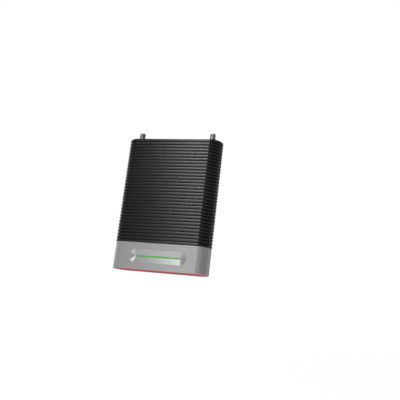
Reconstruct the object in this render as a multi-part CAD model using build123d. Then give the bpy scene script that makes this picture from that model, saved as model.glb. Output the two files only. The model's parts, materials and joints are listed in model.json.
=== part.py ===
from build123d import *
import os

# Cellular signal booster, standing upright as it hangs on a wall.
# Millimetres. +Z is up, the front faces -Y, +X is on the right seen from the front.
# The origin is the middle of the underside.

# ---- driving dimensions -----------------------------------------------------------------------------
body_width = 192.5
body_depth = 45.0
body_height = 257.5
end_radius = 22.56           # radius of the two rounded sides
wall = 2.5                   # casting wall behind the grooves between the ribs
seam_y = 10.0                # plane where the front and rear castings meet

bezel_height = 50.6
bezel_inset = 0.7            # the bezel stands this far inside the rib crests
bezel_wall = 2.4
bezel_rim = 2.8              # width of the rim seen around the bottom cover
edge_break = 0.8             # rounding of the bezel's outer edges

rib_count = 33               # 32 on the castings, and the edge of the top cap is one more
rib_pitch = (body_height - bezel_height) / rib_count
rib_depth = 2.2

cap_thickness = 3.0
cap_edge_radius = 0.4
gasket_thickness = 0.3
spigot_length = 6.6          # how far the castings reach down inside the bezel
spigot_gap = 0.15

recess_half_height = 12.4    # V-shaped recess of the light line
recess_half_span = 44.4      # from its middle to the point of each conical end
recess_depth = 4.0
recess_z = bezel_height / 2
light_line_height = 2.6

board_thickness = 1.6
board_half_width = 74.0
board_bottom = 57.0
board_top = 236.0
ear_half_width = 82.0        # the board is wider where it meets the antenna ports
ear_inner_x = 62.0
ear_bottom = 221.0
ear_top = 242.0

port_x = 74.0
port_radius = 5.55           # 7/16-28 threaded coaxial jack, over the thread
port_height = 17.1           # above the top cap
port_bore = 4.1
port_flange_radius = 8.0
relief_width = 0.5           # groove in the port's thread just above its nut
relief_radius = 5.2
washer_radius = 8.2
washer_height = 0.8
nut_flat_radius = 7.0        # half of 14 mm across the flats
nut_height = 3.0
insulator_radius = 2.4
contact_radius = 0.8
fit_gap = 0.02               # between pieces pressed together on one axis

jack_x = -16.0
jack_width = 9.0
jack_depth = 11.0
jack_nose_radius = 4.2
jack_bore = 3.2
jack_pin_radius = 1.0

switch_x = 18.0
switch_tilt = 12.0           # the rocker leans this far each way
switch_flange = (15.0, 10.5, 1.4)
switch_body = (13.2, 8.6, 9.0)
switch_well = (12.0, 7.0)
rocker_width = 6.4
rocker_pivot_radius = 1.0
running_gap = 0.05

keyhole_x = 50.0
keyhole_z = (95.0, 205.0)
keyhole_head_radius = 4.5
keyhole_slot_width = 4.8
keyhole_slot_length = 9.0    # from the middle of the head hole to the middle of the slot's end

plate_thickness = 2.0        # back plate, let into the rear casting
plate_corner = 5.0
plate_gap = 0.15
window_margin = 7.0          # width of the ledge that the plate rests on
label_size = (64.0, 40.0)
label_recess = 0.3
label_thickness = 0.25

screw_radius = 1.45
screw_hole = 1.5
screw_clearance = 1.7
head_radius = 2.75
head_height = 2.0
head_well = 3.2

# ---- places worked out from them --------------------------------------------------------------------
end_centre = body_width / 2 - end_radius
half_depth = body_depth / 2
half_board = board_thickness / 2
cap_bottom = body_height - rib_pitch
lid_bottom = body_height - cap_thickness
shell_top = cap_bottom - gasket_thickness
inner_inset = rib_depth + wall
inner_front = -(half_depth - inner_inset)
spigot_bottom = bezel_height - spigot_length
spigot_inset = bezel_inset + bezel_wall + spigot_gap
collar_inset = spigot_inset + 2.0
collar_top = bezel_height + 5.4
cap_lip_inset = inner_inset + 0.2
cap_lip_inner = cap_lip_inset + 1.6

cover_thickness = 2.0
cover_recess = 0.4
floor_bottom = cover_recess + cover_thickness
floor_top = floor_bottom + 2.4
tower_radius = 4.5
tower_top = spigot_bottom - 0.2
tower_seat = tower_top - 3.8

bezel_front = -(half_depth - bezel_inset)
pad_back = bezel_front + recess_depth + 2.0
light_flange_back = pad_back + 1.5
diffuser_back = light_flange_back + 0.6
reflector_back = diffuser_back + 4.2
light_board_back = reflector_back + board_thickness
light_post_x = 30.0
light_post_rise = 8.0

cap_screw_front_y = -15.0
cap_screw_rear_y = 15.5
cap_screw_x = 50.0
cap_screw_places = [
    (side * cap_screw_x, y) for side in (-1, 1) for y in (cap_screw_front_y, cap_screw_rear_y)
]
housing_screw_x = 80.0
housing_screw_z = (72.0, 145.0, 214.0)
housing_head_seat = 15.0
side_screw_x = 80.0
side_web_x = body_width / 2 - inner_inset + 0.5
rear_screw_x = 30.0
rear_screw_y = 15.0
bezel_screw_places = (
    (-side_screw_x, 0.0), (side_screw_x, 0.0), (-rear_screw_x, rear_screw_y), (rear_screw_x, rear_screw_y)
)
plate_boss_front = 13.0
board_screw_places = ((-68.0, 64.0), (68.0, 64.0), (-68.0, 216.0), (68.0, 216.0), (0.0, 76.0), (0.0, 196.0))

boss_radius = 4.0
boss_bottom = 238.0          # bosses for the cap's screws
collar_boss_top = 62.0       # bosses for the bezel's screws
pedestal = (10.0, 60.0, 90.0, 180.0)
seal_x = end_centre + ((end_radius - rib_depth - wall / 2) ** 2 - seam_y ** 2) ** 0.5
seal_half = (0.6, 0.5)
seal_ends = (58.0, 248.0)
seal_gap = 0.02

shield_height = 5.0
shield_middle_x = 35.0
shield_size = (52.0, 102.0)
shield_middle_z = 135.0
pad_thickness = 1.5
pad_front = -half_board - shield_height - pad_thickness

panel_half_width = 70.0
panel_height = 186.0
panel_middle_z = 150.96
panel_bottom = panel_middle_z - panel_height / 2
panel_top = panel_middle_z + panel_height / 2
plate_seat = half_depth - plate_thickness
plate_screw_inset = 4.6
plate_screw_places = [
    (side * (panel_half_width - plate_screw_inset), z)
    for side in (-1, 1)
    for z in (panel_bottom + plate_screw_inset, panel_middle_z, panel_top - plate_screw_inset)
]

parts = {}


# ---- shared shapes ----------------------------------------------------------------------------------
def plan(inset):
    """The body seen from above: flat front and back, rounded sides, pulled in by inset."""
    flats = Rectangle(body_width, body_depth - 2 * inset)
    middle = Rectangle(2 * end_centre, body_depth)
    end = Circle(end_radius - inset)
    return flats & (middle + Pos(-end_centre, 0) * end + Pos(end_centre, 0) * Rot(0, 0, 180) * end)


def prism(inset, bottom, top):
    """The plan made solid between two heights."""
    return extrude(Pos(0, 0, bottom) * plan(inset), amount=top - bottom)


def block(x0, x1, y0, y1, z0, z1):
    """A box given by its limits."""
    middle = ((x0 + x1) / 2, (y0 + y1) / 2, (z0 + z1) / 2)
    return Pos(*middle) * Box(x1 - x0, y1 - y0, z1 - z0)


def post(x, y, radius, bottom, top):
    """An upright cylinder."""
    return Pos(x, y, (bottom + top) / 2) * Cylinder(radius, top - bottom)


def rod_y(x, z, radius, front, back):
    """A cylinder running from front to back."""
    return Pos(x, (front + back) / 2, z) * Rot(90, 0, 0) * Cylinder(radius, back - front)


def pan_screw(length):
    """Pan-head screw with a hex socket, its head's seat at z = 0 and its shank going down."""
    head = Pos(0, 0, head_height / 2) * Cylinder(head_radius, head_height)
    head = fillet(head.faces().sort_by(Axis.Z)[-1].edges(), 0.6)
    shank = Pos(0, 0, -length / 2) * Cylinder(screw_radius, length)
    socket = extrude(Pos(0, 0, head_height) * RegularPolygon(1.3, 6), amount=-1.2)
    return head + shank - socket


def flat_screw(length):
    """Countersunk screw with a hex socket, its flat top at z = 0."""
    cone_height = head_radius - screw_radius
    cone = Pos(0, 0, -cone_height / 2) * Cone(screw_radius, head_radius, cone_height)
    shank = Pos(0, 0, -length / 2) * Cylinder(screw_radius, length)
    socket = extrude(RegularPolygon(1.25, 6), amount=-1.1)
    return cone + shank - socket


def flat_screw_hole(depth, clearance):
    """The cut for a countersunk screw, its mouth at z = 0."""
    mouth = head_radius + 0.1
    cone_height = mouth - screw_radius
    cone = Pos(0, 0, -cone_height / 2) * Cone(screw_radius, mouth, cone_height)
    return cone + Pos(0, 0, -depth / 2) * Cylinder(clearance, depth)


# ---- castings ---------------------------------------------------------------------------------------
def rib():
    """One rib all the way round: a shallow arc outside, cut to the flats and the rounded sides."""
    half = rib_pitch / 2
    valley = half_depth - rib_depth
    front = ThreePointArc((-valley, -half), (-half_depth, 0), (-valley, half))
    back = ThreePointArc((valley, half), (half_depth, 0), (valley, -half))
    across = make_face([front, Line(front @ 1, back @ 0), back, Line(back @ 1, front @ 0)])
    slab = extrude(Plane.YZ * across, amount=body_width / 2, both=True)
    side = ThreePointArc((end_radius - rib_depth, -half), (end_radius, 0), (end_radius - rib_depth, half))
    profile = make_face(
        [side, Line(side @ 1, (0, half)), Line((0, half), (0, -half)), Line((0, -half), side @ 0)]
    )
    barrel = revolve(Plane.XZ * profile, axis=Axis.Z)
    middle = Box(2 * end_centre, body_depth + 2, rib_pitch)
    right = Pos(end_centre, 0, 0) * Rot(0, 0, 180) * barrel
    return slab & (middle + Pos(-end_centre, 0, 0) * barrel + right)


def rib_middle(number):
    """Height of a rib's crest, counted from the bottom."""
    return bezel_height + (number + 0.5) * rib_pitch


def casing(one_rib):
    """Both castings in one: ribbed walls and the spigot inside the bezel."""
    outside = prism(spigot_inset, spigot_bottom, bezel_height + 1)
    outside += [Pos(0, 0, rib_middle(number)) * one_rib for number in range(rib_count - 1)]
    cavity = prism(inner_inset, collar_top, body_height)
    cavity += prism(collar_inset, spigot_bottom - 1, collar_top)
    top = block(-body_width, body_width, -body_depth, body_depth, shell_top, body_height)
    return outside - cavity - top


def housing_boss(x, z, front, back):
    """A boss for a housing screw, trimmed so that it stays under the grooves between the ribs."""
    reach = 2 * tower_radius
    return rod_y(x, z, tower_radius, front, back) & prism(rib_depth + 0.2, z - reach, z + reach)


def seal_strips(gap):
    """The two strips along the seam between the castings, grown by gap."""
    half_x, half_y = seal_half
    low, high = seal_ends
    return [
        block(side * seal_x - half_x - gap, side * seal_x + half_x + gap,
              seam_y - half_y - gap, seam_y + half_y + gap, low - gap, high + gap)
        for side in (-1, 1)
    ]


def front_housing(shell):
    """Front casting with its screw bosses and the two pedestals that take the heat."""
    part = shell & block(-body_width, body_width, -body_depth, seam_y, 0, body_height)
    inner, outer, low, high = pedestal
    for side in (-1, 1):
        part += post(side * cap_screw_x, cap_screw_front_y, boss_radius, boss_bottom, shell_top)
        part += post(side * side_screw_x, 0, tower_radius, spigot_bottom, collar_boss_top)
        web = sorted((side * (side_screw_x + 2), side * side_web_x))
        part += block(*web, -1.5, 1.5, spigot_bottom + 2, collar_boss_top)
        part += block(*sorted((side * inner, side * outer)), inner_front - 0.5, pad_front, low, high)
        for z in housing_screw_z:
            part += housing_boss(side * housing_screw_x, z, -half_depth, seam_y)
    for x, z in board_screw_places:
        part += rod_y(x, z, 3.0, inner_front - 0.5, -half_board)
    for side in (-1, 1):
        part -= post(side * cap_screw_x, cap_screw_front_y, screw_hole, boss_bottom + 1, shell_top + 1)
        part -= post(side * side_screw_x, 0, screw_hole, spigot_bottom - 1, collar_boss_top - 4)
        for z in housing_screw_z:
            part -= rod_y(side * housing_screw_x, z, screw_hole, -5, seam_y + 1)
    for x, z in board_screw_places:
        part -= rod_y(x, z, screw_hole, -12, 0)
    return part - seal_strips(seal_gap)


def keyhole(x, z):
    """The cut for hanging on a screw: a round hole with a slot going up from it."""
    outline = Pos(0, keyhole_slot_length / 2) * SlotCenterToCenter(
        keyhole_slot_length, keyhole_slot_width, rotation=90
    )
    outline += Circle(keyhole_head_radius)
    return extrude(Plane.XZ.offset(-half_depth - 1) * Pos(x, z) * outline, amount=plate_thickness + 2)


def back_panel(outline, front, back):
    """An outline centred on the back, made solid between two depths."""
    return extrude(Plane.XZ.offset(-back) * Pos(0, panel_middle_z) * outline, amount=back - front)


def rear_housing(shell):
    """Rear casting: a smooth panel with a window and a ledge for the back plate, and screw bosses."""
    part = shell & block(-body_width, body_width, seam_y, body_depth, 0, body_height)
    frame = RectangleRounded(2 * (panel_half_width + 2), panel_height + 4, plate_corner + 2)
    seat = RectangleRounded(2 * panel_half_width, panel_height, plate_corner)
    window = RectangleRounded(
        2 * (panel_half_width - window_margin), panel_height - 2 * window_margin, plate_corner
    )
    part += back_panel(frame, half_depth - inner_inset, half_depth)
    part -= back_panel(seat, plate_seat, half_depth + 1)
    part -= back_panel(window, 0, half_depth)
    for x, z in plate_screw_places:
        part += rod_y(x, z, boss_radius, plate_boss_front, plate_seat)
    for side in (-1, 1):
        part += post(side * cap_screw_x, cap_screw_rear_y, boss_radius, boss_bottom, shell_top)
        part += post(side * rear_screw_x, rear_screw_y, boss_radius, spigot_bottom, collar_boss_top)
        for z in housing_screw_z:
            part += housing_boss(side * housing_screw_x, z, seam_y, half_depth)
    for x, z in plate_screw_places:
        part -= rod_y(x, z, screw_hole, plate_boss_front + 1, plate_seat + 1)
    for side in (-1, 1):
        part -= post(side * cap_screw_x, cap_screw_rear_y, screw_hole, boss_bottom + 1, shell_top + 1)
        part -= post(side * rear_screw_x, rear_screw_y, screw_hole, spigot_bottom - 1, collar_boss_top - 4)
        for z in housing_screw_z:
            part -= rod_y(side * housing_screw_x, z, screw_clearance, seam_y - 1, body_depth)
            part -= rod_y(side * housing_screw_x, z, head_well, housing_head_seat, body_depth)
    return part - seal_strips(seal_gap)


def back_plate():
    """Flat plate that closes the back, with four keyholes and a shallow recess for the label."""
    outline = RectangleRounded(
        2 * (panel_half_width - plate_gap), panel_height - 2 * plate_gap, plate_corner - plate_gap
    )
    part = back_panel(outline, plate_seat, half_depth)
    part -= back_panel(Rectangle(*label_size), half_depth - label_recess, half_depth + 1)
    for x in (-keyhole_x, keyhole_x):
        for z in keyhole_z:
            part -= keyhole(x, z)
    for x, z in plate_screw_places:
        part -= Pos(x, half_depth, z) * Rot(-90, 0, 0) * flat_screw_hole(5, screw_clearance)
    return part


def top_cap(one_rib):
    """Lid whose edge is the last rib, with a locating lip and holes for ports, inlet, switch and screws."""
    part = Pos(0, 0, rib_middle(rib_count - 1)) * one_rib
    part = fillet(part.faces().sort_by(Axis.Z)[-1].edges(), cap_edge_radius)
    part -= prism(inner_inset, cap_bottom - 1, lid_bottom)
    lip = prism(cap_lip_inset, cap_bottom - 3, lid_bottom)
    part += lip - prism(cap_lip_inner, cap_bottom - 4, lid_bottom)
    for x, y in cap_screw_places:
        part -= post(x, y, boss_radius + 0.4, cap_bottom - 4, cap_bottom)
        part += post(x, y, boss_radius, shell_top, lid_bottom)
        part -= Pos(x, y, body_height) * flat_screw_hole(8, screw_clearance)
    ceiling = body_height + 5
    for side in (-1, 1):
        part -= post(side * port_x, 0, port_radius + 0.2, ear_top, ceiling)
    part -= post(jack_x, 0, jack_nose_radius + 0.2, ear_top, ceiling)
    width, depth, height = switch_body
    part -= Pos(switch_x, 0, body_height) * Box(width + 0.3, depth + 0.3, 20)
    return part


# ---- silver end, light and underside ----------------------------------------------------------------
def recess():
    """The V-shaped recess: a trough with a half cone at each end."""
    proud = 1.0
    grow = (recess_depth + proud) / recess_depth
    mouth = recess_half_height * grow
    depth = recess_depth + proud
    cone = Rot(-90, 0, 0) * Cone(mouth, 0, depth)
    middle_y = bezel_front + (recess_depth - proud) / 2
    cut = [Pos(side * recess_half_span, middle_y, recess_z) * cone for side in (-1, 1)]
    bottom = bezel_front + recess_depth
    trough = make_face(
        Polyline(
            (bezel_front - proud, recess_z - mouth),
            (bottom, recess_z),
            (bezel_front - proud, recess_z + mouth),
            close=True,
        )
    )
    return cut[0] + cut[1] + extrude(Plane.YZ * trough, amount=recess_half_span, both=True)


def end_bezel():
    """Silver cup that closes the lower end, with the light recess in its front."""
    outside = prism(bezel_inset, 0, bezel_height)
    ends = outside.faces().sort_by(Axis.Z)
    outside = fillet(ends[0].edges() + ends[-1].edges(), edge_break)
    part = outside - prism(bezel_inset + bezel_wall, floor_top, bezel_height + 1)
    part -= prism(bezel_inset + bezel_rim, -1, floor_bottom)
    pad = SlotCenterToCenter(2 * recess_half_span, 30)
    pad_plane = Plane.XZ.offset(-(bezel_front + 0.5)) * Pos(0, recess_z)
    part += extrude(pad_plane * pad, amount=-(pad_back - bezel_front - 0.5))
    for x, y in bezel_screw_places:
        part += post(x, y, tower_radius, floor_bottom + 1, tower_top)
    part += post(0, 0, 3.6, floor_bottom + 1, floor_top + 8)
    for x in (-light_post_x, light_post_x):
        for z in (recess_z - light_post_rise, recess_z + light_post_rise):
            part += rod_y(x, z, 2.5, pad_back - 0.5, reflector_back)
            part -= rod_y(x, z, screw_hole, pad_back + 0.5, reflector_back + 1)
    for x, y in bezel_screw_places:
        part -= post(x, y, head_well, floor_bottom - 1, tower_seat)
        part -= post(x, y, screw_clearance, tower_seat - 1, tower_top + 1)
    part -= post(0, 0, screw_hole, floor_bottom - 1, floor_top + 7)
    part -= recess()
    half_line = light_line_height / 2
    part -= block(-recess_half_span, recess_half_span, bezel_front, pad_back + 1,
                  recess_z - half_line, recess_z + half_line)
    return part


def bottom_cover():
    """Red plate set into the underside, held by one countersunk screw."""
    plate = prism(bezel_inset + bezel_rim + 0.1, cover_recess, floor_bottom)
    plate = fillet(plate.faces().sort_by(Axis.Z)[0].edges(), 0.3)
    return plate - Pos(0, 0, cover_recess) * Rot(180, 0, 0) * flat_screw_hole(5, screw_hole)


def light_bar():
    """Green light pipe: a strip that fills the slot and a flange behind the bezel's wall."""
    half_line = light_line_height / 2 - 0.05
    strip = block(-recess_half_span + 0.1, recess_half_span - 0.1, bezel_front + 3.4, pad_back + 0.2,
                  recess_z - half_line, recess_z + half_line)
    strip = fillet(strip.faces().sort_by(Axis.Y)[0].edges().filter_by(Axis.X), 0.5)
    return strip + block(-47, 47, pad_back, light_flange_back, recess_z - 3, recess_z + 3)


def light_diffuser():
    """Thin white sheet between the light pipe and the reflector."""
    return block(-47, 47, light_flange_back, diffuser_back, recess_z - 4, recess_z + 4)


led_places = [-42.0 + 10.5 * i for i in range(9)]


def light_reflector():
    """White trough with one well for each LED."""
    part = block(-47, 47, diffuser_back, reflector_back, recess_z - 4, recess_z + 4)
    for x in led_places:
        part -= block(x - 4, x + 4, diffuser_back - 1, reflector_back + 1, recess_z - 2.6, recess_z + 2.6)
    return part


def light_board():
    """Circuit board that carries the LEDs."""
    part = block(-50, 50, reflector_back, light_board_back, recess_z - 11, recess_z + 11)
    for x in (-light_post_x, light_post_x):
        for z in (recess_z - light_post_rise, recess_z + light_post_rise):
            part -= rod_y(x, z, screw_clearance, -half_depth, half_depth)
    return part


def status_leds():
    """One package in each well of the reflector."""
    return [
        block(x - 1.6, x + 1.6, reflector_back - 1.3, reflector_back, recess_z - 1.4, recess_z + 1.4)
        for x in led_places
    ]


cable_socket_depth = 2.0
light_socket_top = recess_z + 10.0
main_socket_bottom = board_bottom + 3.0


def light_cable_sockets():
    """Flat-cable sockets, one on the light board and one on the main board."""
    lower = block(-6.5, 6.5, light_board_back, light_board_back + cable_socket_depth,
                  light_socket_top - 4, light_socket_top)
    upper = block(-6.5, 6.5, -half_board - cable_socket_depth, -half_board,
                  main_socket_bottom, main_socket_bottom + 4)
    return [lower, upper]


def light_cable():
    """Flat flexible cable from the light board up to the main board."""
    lower_y = light_board_back + cable_socket_depth / 2
    upper_y = -half_board - cable_socket_depth / 2
    route = FilletPolyline(
        (lower_y, light_socket_top),
        (lower_y, light_socket_top + 7),
        (upper_y, main_socket_bottom - 7),
        (upper_y, main_socket_bottom),
        radius=8,
    )
    return extrude(Plane.YZ * trace(route, 0.3), amount=5, both=True)


# ---- electronics ------------------------------------------------------------------------------------
def main_board():
    """Main circuit board, upright in the middle of the casing."""
    part = block(-board_half_width, board_half_width, -half_board, half_board, board_bottom, board_top)
    for side in (-1, 1):
        ear = sorted((side * ear_inner_x, side * ear_half_width))
        part += block(*ear, -half_board, half_board, ear_bottom, ear_top)
    for x, z in board_screw_places:
        part -= rod_y(x, z, screw_clearance, -3, 3)
    return part


def shield(side):
    """Pressed can over one half of the radio, open towards the board."""
    width, height = shield_size
    can = Pos(side * shield_middle_x, -half_board - shield_height / 2, shield_middle_z)
    shell = can * Box(width, shield_height, height)
    inside = can * Pos(0, 0.2, 0) * Box(width - 0.8, shield_height - 0.4, height - 0.8)
    return shell - inside


def chips(places, size, face):
    """Equal blocks standing on the board's face, given their middles."""
    width, height, thickness = size
    low, high = sorted((face, face + thickness * (1 if face > 0 else -1)))
    return [
        block(x - width / 2, x + width / 2, low, high, z - height / 2, z + height / 2) for x, z in places
    ]


filter_places = [
    (side * x, z) for side in (-1, 1) for x in (24.0, 46.0) for z in (98.0, 122.0, 146.0, 170.0)
]
amplifier_places = [(side * shield_middle_x, z) for side in (-1, 1) for z in (110.0, 134.0, 158.0)]
inductor_places = [(-52.0, 196.0), (-32.0, 196.0), (-12.0, 212.0)]
capacitor_places = [(20.0, 212.0), (34.0, 212.0), (48.0, 212.0), (34.0, 198.0)]


def supply_capacitors():
    """Electrolytic capacitors standing on the board's rear face."""
    cans = []
    for x, z in capacitor_places:
        can = rod_y(x, z, 5.0, half_board, half_board + 10)
        cans.append(fillet(can.faces().sort_by(Axis.Y)[-1].edges(), 0.6))
    return cans


def thermal_pads():
    """Soft pads between the shields and the front casting's pedestals."""
    return [
        block(side * shield_middle_x - 25, side * shield_middle_x + 25, pad_front,
              pad_front + pad_thickness, 90, 180)
        for side in (-1, 1)
    ]


# ---- antenna ports, inlet and switch ----------------------------------------------------------------
washer_top = body_height + washer_height
nut_top = washer_top + nut_height


def antenna_port(x):
    """Threaded coaxial jack: flange under the cap, barrel above it and prongs that grip the board.

    A relief groove above the nut parts the stretch that the lead's coupling nut screws onto.
    """
    top = body_height + port_height
    barrel = post(x, 0, port_radius, lid_bottom - 0.5, top)
    barrel = chamfer(barrel.faces().sort_by(Axis.Z)[-1].edges(), 0.5)
    groove = post(x, 0, port_radius + 1, nut_top, nut_top + relief_width)
    barrel -= groove - post(x, 0, relief_radius, nut_top - 1, nut_top + 1)
    part = barrel + post(x, 0, port_flange_radius, lid_bottom - 3, lid_bottom)
    part += post(x, 0, 4.0, ear_top, lid_bottom - 2)
    for dx in (-2.8, 2.8):
        for low in (-2.0, half_board):
            part += block(x + dx - 0.6, x + dx + 0.6, low, low + 1.2, ear_top - 6, ear_top + 0.5)
    part -= post(x, 0, port_bore, top - 12.6, top + 1)
    return part - post(x, 0, insulator_radius + fit_gap, ear_top - 1, top)


def port_insulator(x):
    """White sleeve that holds the centre contact."""
    part = post(x, 0, insulator_radius, ear_top + 0.2, body_height + port_height - 1.4)
    return part - post(x, 0, contact_radius + fit_gap, ear_top - 1, body_height + port_height)


def port_contact(x):
    """Centre contact with a socket in its top."""
    top = body_height + port_height - 2.0
    part = post(x, 0, contact_radius, ear_top + 0.2, top)
    return part - post(x, 0, 0.45, top - 6, top + 1)


def port_washer(x):
    """Flat ring under the nut."""
    ring = post(x, 0, washer_radius, body_height, washer_top)
    return ring - post(x, 0, port_radius + 0.15, cap_bottom, nut_top)


def port_nut(x):
    """Hexagon nut, 14 mm across the flats."""
    outline = Pos(x, 0, washer_top) * RegularPolygon(nut_flat_radius, 6, major_radius=False)
    part = extrude(outline, amount=nut_height)
    return part - post(x, 0, port_radius + 0.05, cap_bottom, nut_top + 1)


def power_jack():
    """Barrel inlet that straddles the board's edge, its nose showing through the cap."""
    half_width, half = jack_width / 2, jack_depth / 2
    part = block(jack_x - half_width, jack_x + half_width, -half, half, board_top - 3, lid_bottom - 1)
    part += post(jack_x, 0, jack_nose_radius, lid_bottom - 2, body_height)
    slot_half = half_board + 0.05
    part -= block(jack_x - 6, jack_x + 6, -slot_half, slot_half, board_top - 4, board_top + 0.2)
    part -= post(jack_x, 0, jack_bore, body_height - 10.5, body_height + 1)
    return part - post(jack_x, 0, jack_pin_radius + fit_gap, board_top + 6, body_height)


def power_jack_pin():
    """Centre pin of the inlet."""
    part = post(jack_x, 0, jack_pin_radius, board_top + 6, body_height - 1.0)
    return fillet(part.faces().sort_by(Axis.Z)[-1].edges(), 0.4)


def power_jack_terminals():
    """Solder tabs on the board's two faces."""
    front = block(jack_x - 2.5, jack_x - 0.5, -half_board - 0.4, -half_board, board_top - 10, board_top - 3)
    back = block(jack_x + 0.5, jack_x + 2.5, half_board, half_board + 0.4, board_top - 10, board_top - 3)
    return [front, back]


switch_pivot_z = body_height - 0.6
switch_bottom = body_height - switch_body[2]
switch_tab_length = 5.0


def switch_housing():
    """Snap-in frame of the rocker switch, with its well and pivot holes."""
    flange_w, flange_d, flange_h = switch_flange
    width, depth, height = switch_body
    flange = Pos(switch_x, 0, body_height + flange_h / 2) * Box(flange_w, flange_d, flange_h)
    flange = fillet(flange.edges().filter_by(Axis.Z), 1.0)
    flange = chamfer(flange.faces().sort_by(Axis.Z)[-1].edges(), 0.4)
    part = flange + Pos(switch_x, 0, body_height - height / 2) * Box(width, depth, height)
    well_x, well_y = switch_well
    part -= block(switch_x - well_x / 2, switch_x + well_x / 2, -well_y / 2, well_y / 2,
                  switch_pivot_z - 5.4, body_height + 5)
    return part - rod_y(switch_x, switch_pivot_z, rocker_pivot_radius + running_gap, -4.22, 4.22)


def switch_rocker():
    """The rocker, pressed on its left side; it turns about its pivot to the other side."""
    outline = make_face(
        Polyline((-5.2, 2.8), (0, 1.7), (5.2, 2.8), (5.2, -0.4), (2.4, -3.6), (-2.4, -3.6), (-5.2, -0.4),
                 close=True)
    )
    paddle = extrude(Plane.XZ * outline, amount=rocker_width / 2, both=True)
    paddle = fillet(paddle.edges().filter_by(Axis.Y).sort_by(Axis.Z)[-2:], 0.5)
    pivot = rod_y(0, 0, rocker_pivot_radius, -4.15, 4.15)
    return Pos(switch_x, 0, switch_pivot_z) * Rot(0, -switch_tilt, 0) * (paddle + pivot)


def switch_terminals():
    """Two tabs under the switch."""
    bottom = switch_bottom - switch_tab_length
    tabs = (switch_x - 4.0, switch_x + 4.0)
    return [block(x - 1.1, x + 1.1, -0.3, 0.3, bottom, switch_bottom) for x in tabs]


def switch_leads():
    """Two short leads from the switch's tabs round to the board's rear face."""
    leads = []
    tab_end = switch_bottom - switch_tab_length
    for x in (switch_x - 4.0, switch_x + 4.0):
        route = FilletPolyline(
            (x, 0, tab_end),
            (x, 0, tab_end - 3),
            (x, 5.0, tab_end - 9),
            (x, 5.0, tab_end - 17),
            (x, half_board, tab_end - 17),
            radius=2.0,
        )
        start = Plane(origin=(x, 0, tab_end), z_dir=(0, 0, -1))
        leads.append(sweep(start * Circle(0.6), path=route))
    return leads


# ---- fasteners --------------------------------------------------------------------------------------
def housing_screws():
    """Screws that pull the rear casting onto the front one."""
    screw = Rot(-90, 0, 0) * pan_screw(17)
    return [
        Pos(side * housing_screw_x, housing_head_seat, z) * screw for side in (-1, 1) for z in housing_screw_z
    ]


def back_plate_screws():
    """Countersunk screws round the edge of the back plate."""
    screw = Rot(-90, 0, 0) * flat_screw(8)
    return [Pos(x, half_depth, z) * screw for x, z in plate_screw_places]


def cap_screws():
    """Countersunk screws in the top cap."""
    return [Pos(x, y, body_height) * flat_screw(12) for x, y in cap_screw_places]


def bezel_screws():
    """Screws that hold the bezel up against the castings, hidden by the bottom cover."""
    screw = Rot(180, 0, 0) * pan_screw(16)
    return [Pos(x, y, tower_seat) * screw for x, y in bezel_screw_places]


def board_screws():
    """Screws that hold the main board on the front casting."""
    screw = Rot(-90, 0, 0) * pan_screw(9)
    return [Pos(x, half_board, z) * screw for x, z in board_screw_places]


def light_board_screws():
    """Screws that hold the light board on the bezel's posts."""
    screw = Rot(-90, 0, 0) * pan_screw(6)
    return [
        Pos(x, light_board_back, z) * screw
        for x in (-light_post_x, light_post_x)
        for z in (recess_z - light_post_rise, recess_z + light_post_rise)
    ]


def cover_screw():
    """The single screw in the middle of the underside."""
    return Pos(0, 0, cover_recess) * Rot(180, 0, 0) * flat_screw(8)


# ---- seals and label --------------------------------------------------------------------------------
def cap_gasket():
    """Ring between the castings and the top cap, notched where the cap's bosses pass."""
    ring = prism(rib_depth + 0.4, shell_top, cap_bottom)
    ring -= prism(inner_inset - 0.4, shell_top - 1, cap_bottom + 1)
    for x, y in cap_screw_places:
        ring -= post(x, y, boss_radius + 0.05, shell_top - 1, cap_bottom + 1)
    return ring


def seam_seals():
    """Two square cords that close the seam between the castings."""
    return seal_strips(0)


def rating_label():
    """Blank plate in the recess on the back."""
    outline = Rectangle(label_size[0] - 0.4, label_size[1] - 0.4)
    bottom = half_depth - label_recess
    return back_panel(outline, bottom, bottom + label_thickness)


# ---- all pieces -------------------------------------------------------------------------------------
one_rib = rib()
shell = casing(one_rib)
ports = (-port_x, port_x)

parts["front_housing"] = front_housing(shell)
parts["rear_housing"] = rear_housing(shell)
parts["back_plate"] = back_plate()
parts["top_cap"] = top_cap(one_rib)
parts["cap_gasket"] = cap_gasket()
parts["seam_seals"] = seam_seals()
parts["end_bezel"] = end_bezel()
parts["bottom_cover"] = bottom_cover()
parts["light_bar"] = light_bar()
parts["light_diffuser"] = light_diffuser()
parts["light_reflector"] = light_reflector()
parts["light_board"] = light_board()
parts["status_leds"] = status_leds()
parts["light_cable_sockets"] = light_cable_sockets()
parts["light_cable"] = light_cable()
parts["main_board"] = main_board()
parts["uplink_shield"] = shield(-1)
parts["downlink_shield"] = shield(1)
parts["band_filters"] = chips(filter_places, (9.0, 6.0, 2.6), -half_board)
parts["rf_amplifiers"] = chips(amplifier_places, (6.0, 6.0, 1.2), -half_board)
parts["thermal_pads"] = thermal_pads()
parts["supply_inductors"] = chips(inductor_places, (12.0, 12.0, 6.0), half_board)
parts["supply_capacitors"] = supply_capacitors()
parts["control_chip"] = chips([(0.0, 140.0)], (14.0, 14.0, 1.4), half_board)
parts["outside_antenna_port"] = antenna_port(ports[0])
parts["inside_antenna_port"] = antenna_port(ports[1])
parts["port_insulators"] = [port_insulator(x) for x in ports]
parts["port_contacts"] = [port_contact(x) for x in ports]
parts["port_washers"] = [port_washer(x) for x in ports]
parts["port_nuts"] = [port_nut(x) for x in ports]
parts["power_jack"] = power_jack()
parts["power_jack_pin"] = power_jack_pin()
parts["power_jack_terminals"] = power_jack_terminals()
parts["switch_housing"] = switch_housing()
parts["switch_rocker"] = switch_rocker()
parts["switch_terminals"] = switch_terminals()
parts["switch_leads"] = switch_leads()
parts["housing_screws"] = housing_screws()
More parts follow.
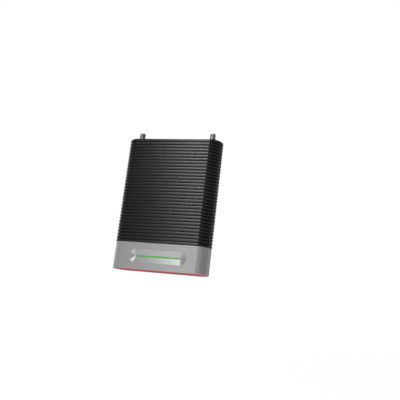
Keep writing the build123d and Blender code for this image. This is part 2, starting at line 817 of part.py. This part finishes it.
parts["cap_screws"] = cap_screws()
parts["back_plate_screws"] = back_plate_screws()
parts["bezel_screws"] = bezel_screws()
parts["board_screws"] = board_screws()
parts["light_board_screws"] = light_board_screws()
parts["cover_screw"] = cover_screw()
parts["rating_label"] = rating_label()

os.makedirs("parts", exist_ok=True)
for name, shape in parts.items():
    solids = shape if isinstance(shape, list) else [shape]
    export_step(Compound(children=[s for item in solids for s in item.solids()]), f"parts/{name}.step")
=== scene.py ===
import json
import math

import bmesh
import bpy
from mathutils import Matrix, Vector


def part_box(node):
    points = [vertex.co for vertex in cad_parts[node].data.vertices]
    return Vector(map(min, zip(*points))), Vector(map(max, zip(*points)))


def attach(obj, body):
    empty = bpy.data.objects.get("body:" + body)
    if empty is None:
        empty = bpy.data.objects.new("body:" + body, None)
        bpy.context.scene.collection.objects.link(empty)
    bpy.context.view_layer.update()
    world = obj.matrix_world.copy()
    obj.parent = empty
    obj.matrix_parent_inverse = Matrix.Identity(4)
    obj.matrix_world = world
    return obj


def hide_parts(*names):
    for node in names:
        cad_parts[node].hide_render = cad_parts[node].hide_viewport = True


# A cellular signal booster, upright, seen from in front, a little below and to its right.
# Metres, in the row frame: +Z up, -Y out of the front, +X to the right seen from the front.

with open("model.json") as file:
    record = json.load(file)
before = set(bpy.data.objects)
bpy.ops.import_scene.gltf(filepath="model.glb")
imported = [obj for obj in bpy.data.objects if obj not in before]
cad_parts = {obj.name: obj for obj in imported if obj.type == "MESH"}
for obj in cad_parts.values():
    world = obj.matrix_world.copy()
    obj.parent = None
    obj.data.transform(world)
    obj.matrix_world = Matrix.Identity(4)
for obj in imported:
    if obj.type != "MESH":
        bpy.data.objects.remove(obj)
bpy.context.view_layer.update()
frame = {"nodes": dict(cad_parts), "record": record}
nodes = frame["nodes"]

MM = 0.001

# ---- the camera ---------------------------------------------------------------------------------------
CAMERA_PLACE = Vector((386.9, -975.1, -96.5)) * MM
CAMERA_FORWARD = Vector((-0.30719, 0.92431, 0.22648))
CAMERA_UP = Vector((-0.03927, -0.25010, 0.96742))
LENS_MM = 50.0
SENSOR_MM = 36.0

# ---- the studio ---------------------------------------------------------------------------------------
FLOOR_Z = -0.35
FLOOR_RADIUS = 30.0
FLOOR_GLOW = 0.35
FLOOR_LIFT = 0.50       # more, to the camera alone, so the floor reads as pale as the backdrop

# Bright patches in the sky the object sees: full inside LOBE_INNER degrees, none past LOBE_OUTER.
LOBE_INNER = 6.0
LOBE_OUTER = 34.0
LOBES = (
    # azimuth, elevation, strength
    (-135.0, 10.0, 1.8),
    (-90.0, 10.0, 0.45),
    (-45.0, 10.0, 0.18),
    (10.0, 10.0, 0.42),
    (90.0, 10.0, 0.20),
    (135.0, 10.0, 0.7),
)
DOME = 0.03

# Tall strips side by side make one softbox, close in front and to the left, that dims to its left.
STRIP_AIM = Vector((0.0, 0.0, 0.15))
STRIP_BANKS = (
    # place, height, width of a strip, each strip's x and radiance
    (Vector((0.0, -0.32, 0.50)), 0.60, 0.05, ((-0.05, 8.4), (-0.10, 7.2), (-0.15, 4.1), (-0.20, 1.4))),
    (Vector((0.0, -0.35, -0.08)), 0.14, 0.05, ((-0.05, 3.2), (-0.10, 2.6), (-0.15, 1.3), (-0.20, 0.4))),
)
# A low lamp behind the object lights its underside.
LOW_PLACE = Vector((0.0, 0.20, -0.22))
LOW_AIM = Vector((0.0, 0.0, 0.0))
LOW_SIZE = (0.30, 0.20)
LOW_RADIANCE = 0.8


# ---- node helpers -------------------------------------------------------------------------------------
class Graph:
    """A short way to write a node tree."""

    def __init__(self, tree):
        self.tree = tree
        tree.nodes.clear()

    def add(self, kind, inputs=None, **settings):
        node = self.tree.nodes.new(kind)
        for name, value in settings.items():
            setattr(node, name, value)
        for name, value in (inputs or {}).items():
            self.plug(node.inputs[name], value)
        return node

    def plug(self, socket, value):
        if isinstance(value, bpy.types.NodeSocket):
            self.tree.links.new(value, socket)
        else:
            socket.default_value = value

    def math(self, operation, *values, clamp=False):
        node = self.add("ShaderNodeMath", operation=operation, use_clamp=clamp)
        for socket, value in zip(node.inputs, values):
            self.plug(socket, value)
        return node.outputs[0]

    def vector(self, operation, *values):
        node = self.add("ShaderNodeVectorMath", operation=operation)
        for socket, value in zip(node.inputs, values):
            self.plug(socket, value)
        return node.outputs[0]

    def dot(self, a, b):
        node = self.add("ShaderNodeVectorMath", {0: a, 1: b}, operation="DOT_PRODUCT")
        return node.outputs["Value"]

    def ramp(self, value, low, high, to_low=0.0, to_high=1.0, smooth=False):
        kind = "SMOOTHSTEP" if smooth else "LINEAR"
        inputs = {"Value": value, "From Min": low, "From Max": high, "To Min": to_low, "To Max": to_high}
        return self.add("ShaderNodeMapRange", inputs, interpolation_type=kind).outputs["Result"]

    def mix(self, factor, a, b):
        node = self.add("ShaderNodeMix", data_type="RGBA")
        self.plug(node.inputs["Factor"], factor)
        self.plug(node.inputs[6], a)
        self.plug(node.inputs[7], b)
        return node.outputs[2]

    def blend(self, factor, a, b):
        """A vector from a at 0 to b at 1."""
        node = self.add("ShaderNodeMix", data_type="VECTOR")
        self.plug(node.inputs["Factor"], factor)
        self.plug(node.inputs[4], a)
        self.plug(node.inputs[5], b)
        return node.outputs[1]

    def combine(self, x, y, z):
        return self.add("ShaderNodeCombineXYZ", {"X": x, "Y": y, "Z": z}).outputs[0]

    def place(self):
        return self.add("ShaderNodeTexCoord").outputs["Object"]

    def stretch(self, vector, scale):
        return self.vector("MULTIPLY", vector, scale)

    def noise(self, vector, scale, detail=2.0, roughness=0.5):
        inputs = {"Vector": vector, "Scale": scale, "Detail": detail, "Roughness": roughness}
        return self.add("ShaderNodeTexNoise", inputs).outputs["Fac"]

    def bump(self, height, distance, strength=1.0, normal=None):
        inputs = {"Height": height, "Distance": distance, "Strength": strength}
        if normal is not None:
            inputs["Normal"] = normal
        return self.add("ShaderNodeBump", inputs).outputs["Normal"]


def grey(value):
    return (value, value, value, 1.0)


def rgb(red, green, blue):
    return (red, green, blue, 1.0)


def material(name):
    made = bpy.data.materials.new(name)
    made.use_nodes = True
    return made, Graph(made.node_tree)


def finish_material(graph, **inputs):
    named = {key.replace("_", " "): value for key, value in inputs.items()}
    shader = graph.add("ShaderNodeBsdfPrincipled", named)
    graph.add("ShaderNodeOutputMaterial", {"Surface": shader.outputs["BSDF"]})


# ---- materials ----------------------------------------------------------------------------------------
UPRIGHT = (0.0, 0.0, 1.0)
BEZEL_TONE = (0.44, 0.48)
BEZEL_METAL = 0.40
BEZEL_ROUGHNESS = 0.36
RECESS_HALF_SPAN = 44.4 * MM
RECESS_HALF_HEIGHT = 12.4 * MM
RECESS_MIDDLE = 25.3 * MM


def casing_black():
    """Satin powder coat on cast aluminium: fine grain, slightly uneven gloss."""
    made, g = material("casing_black")
    place = g.place()
    grain = g.noise(place, 2200.0, 3.0)
    cloud = g.noise(place, 35.0, 3.0)
    colour = g.mix(g.ramp(cloud, 0.3, 0.7), rgb(0.0055, 0.0055, 0.0058), rgb(0.0075, 0.0075, 0.0078))
    finish_material(
        g,
        Base_Color=colour,
        Roughness=g.ramp(cloud, 0.3, 0.7, 0.33, 0.37),
        Anisotropic=0.8,
        Tangent=g.combine(*UPRIGHT),
        Normal=g.bump(grain, 0.00001, 0.3),
    )
    return made


def bezel_silver():
    """Satin silver, brushed along its width and spun round the two cones of the light recess."""
    made, g = material("bezel_silver")
    place = g.place()
    along = g.add("ShaderNodeSeparateXYZ", {"Vector": place}).outputs
    rise = g.math("SUBTRACT", along["Z"], RECESS_MIDDLE)
    past = g.math("MAXIMUM", g.math("SUBTRACT", g.math("ABSOLUTE", along["X"]), RECESS_HALF_SPAN), 0.0)
    reach = g.math("SQRT", g.math("ADD", g.math("MULTIPLY", past, past), g.math("MULTIPLY", rise, rise)))
    outside = g.math("GREATER_THAN", reach, RECESS_HALF_HEIGHT)
    from_line = g.combine(g.math("MULTIPLY", past, g.math("SIGN", along["X"])), 0.0, rise)
    across_lines = g.blend(outside, g.vector("NORMALIZE", from_line), UPRIGHT)
    line_place = g.blend(outside, g.combine(0.0, 0.0, reach), g.stretch(place, (0.01, 0.01, 1.0)))
    lines = g.noise(line_place, 3200.0, 2.0)
    cloud = g.noise(place, 40.0, 2.0)
    colour = g.mix(g.ramp(lines, 0.3, 0.7), grey(BEZEL_TONE[0]), grey(BEZEL_TONE[1]))
    finish_material(
        g,
        Base_Color=colour,
        Metallic=BEZEL_METAL,
        Roughness=g.ramp(cloud, 0.3, 0.7, BEZEL_ROUGHNESS - 0.02, BEZEL_ROUGHNESS + 0.02),
        Anisotropic=0.6,
        Tangent=across_lines,
        Normal=g.bump(lines, 0.00002, 0.3),
    )
    return made


def cover_red():
    """Moulded red plastic with a fine spark-eroded texture."""
    made, g = material("cover_red")
    place = g.place()
    grain = g.noise(place, 1600.0, 2.0)
    cloud = g.noise(place, 50.0, 2.0)
    colour = g.mix(g.ramp(cloud, 0.3, 0.7), rgb(0.55, 0.035, 0.065), rgb(0.61, 0.048, 0.078))
    finish_material(
        g, Base_Color=colour, Roughness=0.5, Specular_IOR_Level=0.05, Normal=g.bump(grain, 0.00004, 0.5)
    )
    return made


def light_green():
    """Frosted light pipe, lit from behind, slightly uneven along its length."""
    made, g = material("light_green")
    place = g.place()
    cloud = g.noise(place, 60.0, 2.0)
    colour = g.mix(g.ramp(cloud, 0.3, 0.7), rgb(0.055, 0.36, 0.03), rgb(0.085, 0.46, 0.05))
    finish_material(
        g,
        Base_Color=rgb(0.03, 0.20, 0.02),
        Roughness=0.35,
        Emission_Color=colour,
        Emission_Strength=0.68,
    )
    return made


def plain(name, low, high, roughness=0.5, metallic=0.0, grain=1500.0, depth=0.00003, cloud_scale=60.0):
    """A moulded, plated or coated surface: fine grain and a slow change of colour and gloss."""
    made, g = material(name)
    place = g.place()
    fine = g.noise(place, grain, 2.0)
    cloud = g.noise(place, cloud_scale, 3.0)
    finish_material(
        g,
        Base_Color=g.mix(g.ramp(cloud, 0.3, 0.7), low, high),
        Metallic=metallic,
        Roughness=g.ramp(cloud, 0.3, 0.7, roughness - 0.05, roughness + 0.05),
        Normal=g.bump(fine, depth, 0.5),
    )
    return made


MATERIALS = {
    "casing_black": casing_black(),
    "bezel_silver": bezel_silver(),
    "cover_red": cover_red(),
    "light_green": light_green(),
    "plastic_white": plain("plastic_white", grey(0.74), grey(0.82), 0.5),
    "plastic_black": plain("plastic_black", grey(0.022), grey(0.032), 0.45),
    "switch_black": plain("switch_black", grey(0.018), grey(0.026), 0.35),
    "rubber_black": plain("rubber_black", grey(0.020), grey(0.030), 0.75, grain=900.0),
    "circuit_board": plain("circuit_board", rgb(0.012, 0.12, 0.05), rgb(0.02, 0.17, 0.07), 0.4),
    "cable_film": plain("cable_film", rgb(0.66, 0.60, 0.46), rgb(0.74, 0.68, 0.54), 0.4),
    "tinned_steel": plain("tinned_steel", grey(0.55), grey(0.65), 0.35, 1.0),
    "ceramic": plain("ceramic", rgb(0.48, 0.43, 0.36), rgb(0.56, 0.50, 0.42), 0.6),
    "pad_grey": plain("pad_grey", rgb(0.38, 0.40, 0.43), rgb(0.46, 0.48, 0.51), 0.8),
    "capacitor_aluminium": plain("capacitor_aluminium", grey(0.62), grey(0.72), 0.3, 1.0),
    "port_nickel": plain("port_nickel", rgb(0.55, 0.51, 0.48), rgb(0.64, 0.60, 0.56), 0.28, 1.0),
    "contact_gold": plain("contact_gold", rgb(0.78, 0.56, 0.24), rgb(0.86, 0.64, 0.30), 0.25, 1.0),
    "lead_red": plain("lead_red", rgb(0.38, 0.03, 0.02), rgb(0.48, 0.05, 0.03), 0.45),
    "screw_steel": plain("screw_steel", grey(0.50), grey(0.60), 0.3, 1.0),
    "screw_black": plain("screw_black", grey(0.03), grey(0.05), 0.4, 0.3),
    "label_grey": plain("label_grey", rgb(0.50, 0.51, 0.52), rgb(0.56, 0.57, 0.58), 0.5),
}


def paint_nodes():
    """Gives each CAD node the material of its slot in the record."""
    for subpart in frame["record"]["subparts"]:
        mesh = nodes[subpart["node"]].data
        mesh.materials.clear()
        mesh.materials.append(MATERIALS[subpart["material_slot"]])


# ---- turned pieces: antenna ports, nuts and washers ---------------------------------------------------
SEGMENTS = 72
THREAD_PITCH = 0.907 * MM        # 28 turns to the inch
THREAD_DEPTH = 0.42 * MM
ROWS_PER_TURN = 8

CAP_THICKNESS = 3.0 * MM
PORT_RADIUS = 5.55 * MM
PORT_BORE = 4.1 * MM
PORT_BORE_DEPTH = 12.6 * MM
PORT_CHAMFER = 0.5 * MM
PORT_STEM_RADIUS = 4.0 * MM
PORT_CORE_RADIUS = 2.42 * MM
FLANGE_RADIUS = 8.0 * MM
FLANGE_HEIGHT = 3.0 * MM
RELIEF_RADIUS = 5.2 * MM
RELIEF_WIDTH = 0.5 * MM
PRONG_WIDTH = 1.2 * MM
PRONG_HEIGHT = 6.5 * MM
PRONG_X = 2.8 * MM               # from the port's axis
PRONG_Y = 1.4 * MM
NUT_FLAT = 7.0 * MM
HOLE_GAP = 0.1 * MM
EDGE = 0.15 * MM


def thread_cut(height, angle):
    """How deep the V thread is at a point, 0 on a crest and 1 at a root."""
    phase = (height / THREAD_PITCH - angle / math.tau) % 1.0
    return min(max((abs(2.0 * phase - 1.0) - 0.12) / 0.76, 0.0), 1.0)


def threaded(radius, bottom, top):
    """Rows of a threaded stretch; the thread starts and ends on the full radius."""
    count = round((top - bottom) / THREAD_PITCH * ROWS_PER_TURN)
    rows = []
    for i in range(count + 1):
        share = i / count
        fade = min(1.0, share * count / ROWS_PER_TURN, (1.0 - share) * count / ROWS_PER_TURN)
        rows.append((radius, bottom + share * (top - bottom), fade))
    return rows


def turned(mesh, centre, section, radius_at=None):
    """Adds a ring-shaped solid to mesh; section holds (radius, height) or (radius, height, thread) rows."""
    rings = []
    for radius, height, *cut in section:
        ring = []
        for i in range(SEGMENTS):
            angle = math.tau * i / SEGMENTS
            reach = radius_at(radius, angle) if radius_at else radius
            if cut:
                reach -= cut[0] * THREAD_DEPTH * thread_cut(height, angle)
            place = (centre.x + reach * math.cos(angle), centre.y + reach * math.sin(angle), height)
            ring.append(mesh.verts.new(place))
        rings.append(ring)
    for ring, after in zip(rings, rings[1:] + rings[:1]):
        for i in range(SEGMENTS):
            j = (i + 1) % SEGMENTS
            mesh.faces.new((ring[i], ring[j], after[j], after[i]))


def add_box(mesh, low, high):
    """Adds an upright box to mesh."""
    size = high - low
    matrix = Matrix.Translation((low + high) / 2) @ Matrix.Diagonal((*size, 1.0))
    bmesh.ops.create_cube(mesh, size=1.0, matrix=matrix)


def fixed_piece(name, mesh, slot_name, *replaced):
    """Makes the built mesh a piece of the booster that stands for CAD nodes."""
    bmesh.ops.recalc_face_normals(mesh, faces=mesh.faces)
    data = bpy.data.meshes.new(name)
    mesh.to_mesh(data)
    mesh.free()
    for polygon in data.polygons:
        polygon.use_smooth = True
    data.set_sharp_from_angle(angle=math.radians(32.0))
    data.materials.append(MATERIALS[slot_name])
    piece = bpy.data.objects.new(name, data)
    bpy.context.scene.collection.objects.link(piece)
    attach(piece, "booster")
    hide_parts(*replaced)


def middle_of(node):
    """Centre of a CAD node's box."""
    low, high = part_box(node)
    return (low + high) / 2


def antenna_port(node):
    """Threaded coaxial jack with a flange under the cap and four prongs for the board."""
    low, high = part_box(node)
    centre = middle_of(node)
    cap_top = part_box("port_washers")[0].z
    nut_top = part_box("port_nuts")[1].z
    flange_top = cap_top - CAP_THICKNESS
    flange_low = flange_top - FLANGE_HEIGHT
    foot = low.z + PRONG_HEIGHT - PORT_CHAMFER
    bore_floor = high.z - PORT_BORE_DEPTH
    mesh = bmesh.new()
    turned(mesh, centre, [
        (PORT_CORE_RADIUS, foot),
        (PORT_STEM_RADIUS, foot),
        (PORT_STEM_RADIUS, flange_low),
        (FLANGE_RADIUS - EDGE, flange_low),
        (FLANGE_RADIUS, flange_low + EDGE),
        (FLANGE_RADIUS, flange_top - EDGE),
        (FLANGE_RADIUS - EDGE, flange_top),
        (PORT_RADIUS, flange_top),
        (PORT_RADIUS, nut_top),
        (RELIEF_RADIUS, nut_top),
        (RELIEF_RADIUS, nut_top + RELIEF_WIDTH),
        *threaded(PORT_RADIUS, nut_top + RELIEF_WIDTH, high.z - PORT_CHAMFER),
        (PORT_RADIUS - PORT_CHAMFER, high.z),
        (PORT_BORE + EDGE, high.z),
        (PORT_BORE, high.z - EDGE),
        (PORT_BORE, bore_floor),
        (PORT_CORE_RADIUS, bore_floor),
    ])
    middle = (low.x + high.x) / 2
    for x in (middle - PRONG_X, middle + PRONG_X):
        for y in (-PRONG_Y, PRONG_Y):
            corner = Vector((x, y, low.z + PRONG_HEIGHT / 2))
            half = Vector((PRONG_WIDTH, PRONG_WIDTH, PRONG_HEIGHT)) / 2
            add_box(mesh, corner - half, corner + half)
    fixed_piece(f"{node}_threaded", mesh, "port_nickel", node)


def hexagon(limit, angle):
    """Radius of a hexagon with a corner on the X axis, cut back to limit by the chamfer."""
    from_flat = angle % (math.tau / 6) - math.tau / 12
    return min(NUT_FLAT / math.cos(from_flat), limit)


def hexagon_outside(hole):
    """Leaves the hole round and gives everything outside it the hexagon's outline."""
    return lambda radius, angle: radius if radius <= hole else hexagon(radius, angle)


def port_nut(node, side):
    """Hexagon nut with chamfered corners."""
    low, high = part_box("port_nuts")
    centre = middle_of(node)
    hole = PORT_RADIUS + HOLE_GAP / 2
    corner = NUT_FLAT / math.cos(math.tau / 12)
    rows = [(NUT_FLAT - EDGE, 0.0)]
    rows += [(NUT_FLAT + step * (corner - NUT_FLAT) / 3, step * EDGE) for step in (0, 1, 2, 3)]
    outer = [(limit, low.z + rise) for limit, rise in rows]
    outer += [(limit, high.z - rise) for limit, rise in reversed(rows)]
    mesh = bmesh.new()
    turned(mesh, centre, [(hole, low.z), *outer, (hole, high.z)], hexagon_outside(hole))
    fixed_piece(f"port_nut_{side}", mesh, "port_nickel", "port_nuts")


def port_washer(node, side):
    """Flat washer with broken edges."""
    low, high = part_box("port_washers")
    hole = PORT_RADIUS + HOLE_GAP
    rim = high.x - middle_of("inside_antenna_port").x
    mesh = bmesh.new()
    turned(mesh, middle_of(node), [
        (hole, low.z),
        (rim - EDGE, low.z),
        (rim, low.z + EDGE),
        (rim, high.z - EDGE),
        (rim - EDGE, high.z),
        (hole, high.z),
    ])
    fixed_piece(f"port_washer_{side}", mesh, "port_nickel", "port_washers")


def make_pieces():
    """The two ports, each with its nut and washer."""
    for side, node in (("left", "outside_antenna_port"), ("right", "inside_antenna_port")):
        antenna_port(node)
        port_nut(node, side)
        port_washer(node, side)


# ---- the studio's making ------------------------------------------------------------------------------
def make_camera():
    data = bpy.data.cameras.new("camera")
    data.lens = LENS_MM
    data.sensor_width = SENSOR_MM
    data.clip_start = 0.01
    data.clip_end = 100.0
    camera = bpy.data.objects.new("camera", data)
    back = -CAMERA_FORWARD.normalized()
    right = CAMERA_FORWARD.cross(CAMERA_UP).normalized()
    turn = Matrix((right, back.cross(right), back)).transposed()
    camera.matrix_world = Matrix.Translation(CAMERA_PLACE) @ turn.to_4x4()
    bpy.context.scene.collection.objects.link(camera)
    bpy.context.scene.camera = camera


def make_floor():
    mesh = bpy.data.meshes.new("floor")
    made = bmesh.new()
    bmesh.ops.create_circle(made, cap_ends=True, radius=FLOOR_RADIUS, segments=96)
    made.to_mesh(mesh)
    made.free()
    floor = bpy.data.objects.new("floor", mesh)
    floor.location = (0.0, 0.0, FLOOR_Z)
    bpy.context.scene.collection.objects.link(floor)
    paint, g = material("floor_pale")
    ray = g.add("ShaderNodeLightPath").outputs["Is Camera Ray"]
    glow = g.math("MULTIPLY_ADD", ray, FLOOR_LIFT, FLOOR_GLOW)
    finish_material(
        g, Base_Color=grey(0.80), Roughness=0.9, Emission_Color=grey(1.0), Emission_Strength=glow
    )
    mesh.materials.append(paint)


def direction(azimuth, elevation):
    """A unit vector; azimuth 0 is in front of the object and 90 on its right."""
    a, e = math.radians(azimuth), math.radians(elevation)
    return Vector((math.sin(a) * math.cos(e), -math.cos(a) * math.cos(e), math.sin(e)))


def lobe(g, way, azimuth, elevation):
    """1 near a direction, falling smoothly to 0 away from it."""
    cosine = g.dot(way, direction(azimuth, elevation))
    outer, inner = math.cos(math.radians(LOBE_OUTER)), math.cos(math.radians(LOBE_INNER))
    return g.ramp(cosine, outer, inner, smooth=True)


def softbox(place, aim, width, height, radiance):
    data = bpy.data.lights.new("softbox", "AREA")
    data.shape = "RECTANGLE"
    data.size = width
    data.size_y = height
    data.energy = math.pi * width * height * radiance
    lamp = bpy.data.objects.new("softbox", data)
    lamp.location = place
    lamp.rotation_euler = (aim - place).to_track_quat("-Z", "Y").to_euler()
    lamp.visible_camera = False
    bpy.context.scene.collection.objects.link(lamp)


def make_softboxes():
    """The graded softbox in front, and a low one behind that lights the underside."""
    for place, height, width, strips in STRIP_BANKS:
        for x, radiance in strips:
            shift = Vector((x, 0.0, 0.0))
            softbox(place + shift, STRIP_AIM + shift, width, height, radiance)
    softbox(LOW_PLACE, LOW_AIM, *LOW_SIZE, LOW_RADIANCE)


def make_world():
    """White to the camera; to the object, a soft dome with brighter patches where a studio has its lamps."""
    world = bpy.data.worlds.new("studio")
    world.use_nodes = True
    bpy.context.scene.world = world
    g = Graph(world.node_tree)
    way = g.vector("NORMALIZE", g.add("ShaderNodeTexCoord").outputs["Generated"])
    total = DOME
    for azimuth, elevation, strength in LOBES:
        total = g.math("MULTIPLY_ADD", lobe(g, way, azimuth, elevation), strength, total)
    lit = g.add("ShaderNodeBackground", {"Color": grey(1.0), "Strength": total})
    white = g.add("ShaderNodeBackground", {"Color": grey(1.0), "Strength": 1.0})
    ray = g.add("ShaderNodeLightPath").outputs["Is Camera Ray"]
    mixed = g.add("ShaderNodeMixShader", {0: ray, 1: lit.outputs[0], 2: white.outputs[0]})
    g.add("ShaderNodeOutputWorld", {"Surface": mixed.outputs[0]})


def set_colours():
    view = bpy.context.scene.view_settings
    view.view_transform = "Standard"
    view.look = "None"


make_camera()
make_floor()
make_world()
make_softboxes()
set_colours()
paint_nodes()
make_pieces()
